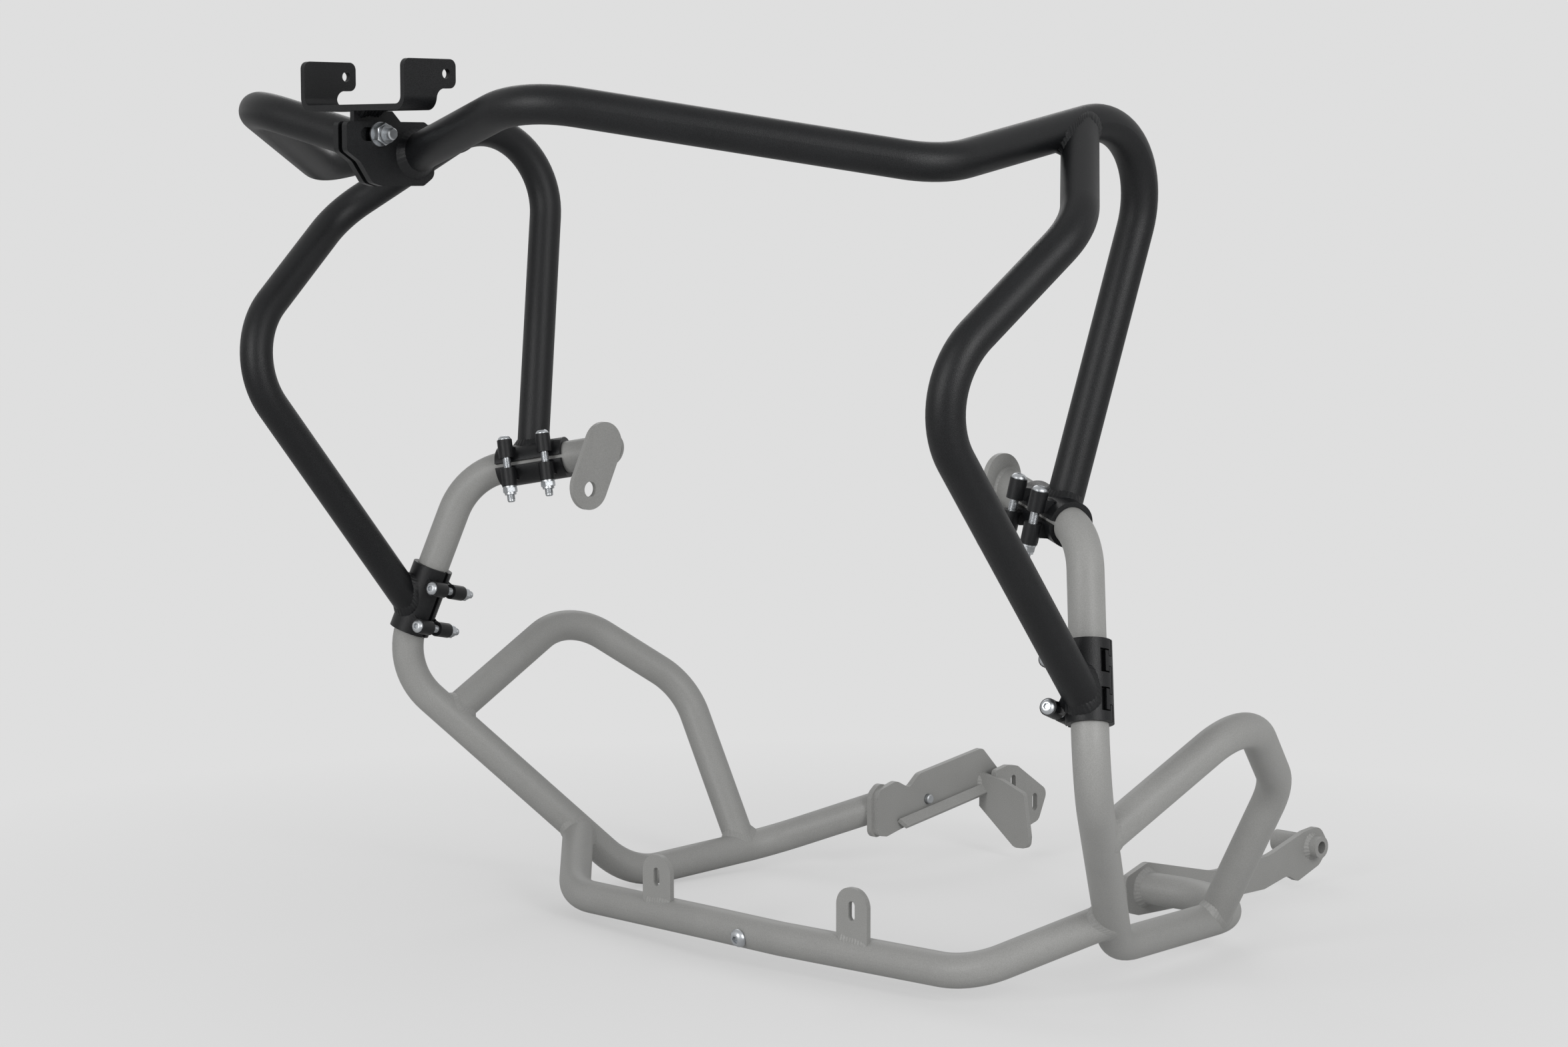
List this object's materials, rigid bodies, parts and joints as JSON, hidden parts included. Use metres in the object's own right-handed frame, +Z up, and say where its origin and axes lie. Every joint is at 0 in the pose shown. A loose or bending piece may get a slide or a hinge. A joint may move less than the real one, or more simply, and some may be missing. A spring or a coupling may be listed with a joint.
{
  "type": "motorcycle crash bars",
  "caption": "Tubular crash bars: an upper pair with a lamp bracket, clamped to a lower engine guard with rear mounts.",
  "frame": {"origin": "middle of the axis through the two upper engine mounting holes", "axes": "+X to the rider's left, +Y to the rear, +Z up, with the bars as fitted"},
  "size_m": [0.7792, 0.9172, 0.6613],
  "materials": {
    "black_coat": "textured powder coat",
    "grey_coat": "satin powder coat",
    "zinc": "zinc plated"
  },
  "bodies": {
    "root": {"belly_tab_left": "grey_coat", "belly_tab_right": "grey_coat", "centre_bolt": "zinc", "centre_flange_left": "black_coat", "centre_flange_right": "black_coat", "centre_nut": "zinc", "centre_washers": "zinc", "cross_tube_bolt": "zinc", "cross_tube_nut": "zinc", "cross_tube_spigot": "zinc", "front_clamp_bolts_left": "zinc", "front_clamp_bolts_right": "zinc", "front_clamp_fixed_half_left": "black_coat", "front_clamp_fixed_half_right": "black_coat", "front_clamp_loose_half_left": "black_coat", "front_clamp_loose_half_right": "black_coat", "front_clamp_nuts_left": "zinc", "front_clamp_nuts_right": "zinc", "front_clamp_washers_left": "zinc", "front_clamp_washers_right": "zinc", "lamp_bracket": "black_coat", "lamp_bracket_tongue": "black_coat", "lower_cross_tube_left": "grey_coat", "lower_cross_tube_right": "grey_coat", "lower_loop_tube_left": "grey_coat", "lower_loop_tube_right": "grey_coat", "lower_main_tube_left": "grey_coat", "lower_main_tube_right": "grey_coat", "rear_arm_plate_left": "grey_coat", "rear_boss_tube_left": "grey_coat", "rear_bracket_bolt_right": "zinc", "rear_bracket_right": "grey_coat", "rear_clamp_bolts_left": "zinc", "rear_clamp_bolts_right": "zinc", "rear_clamp_fixed_half_left": "black_coat", "rear_clamp_fixed_half_right": "black_coat", "rear_clamp_loose_half_left": "black_coat", "rear_clamp_loose_half_right": "black_coat", "rear_clamp_nuts_left": "zinc", "rear_clamp_nuts_right": "zinc", "rear_clamp_washers_left": "zinc", "rear_clamp_washers_right": "zinc", "rear_gusset_right": "grey_coat", "rear_slotted_plate_right": "grey_coat", "rear_stiffener_right": "grey_coat", "rear_tube_plate_right": "grey_coat", "upper_branch_tube_left": "black_coat", "upper_branch_tube_right": "black_coat", "upper_main_tube_left": "black_coat", "upper_main_tube_right": "black_coat", "upper_mount_plate_left": "grey_coat", "upper_mount_plate_right": "grey_coat"}
  },
  "joints": []
}
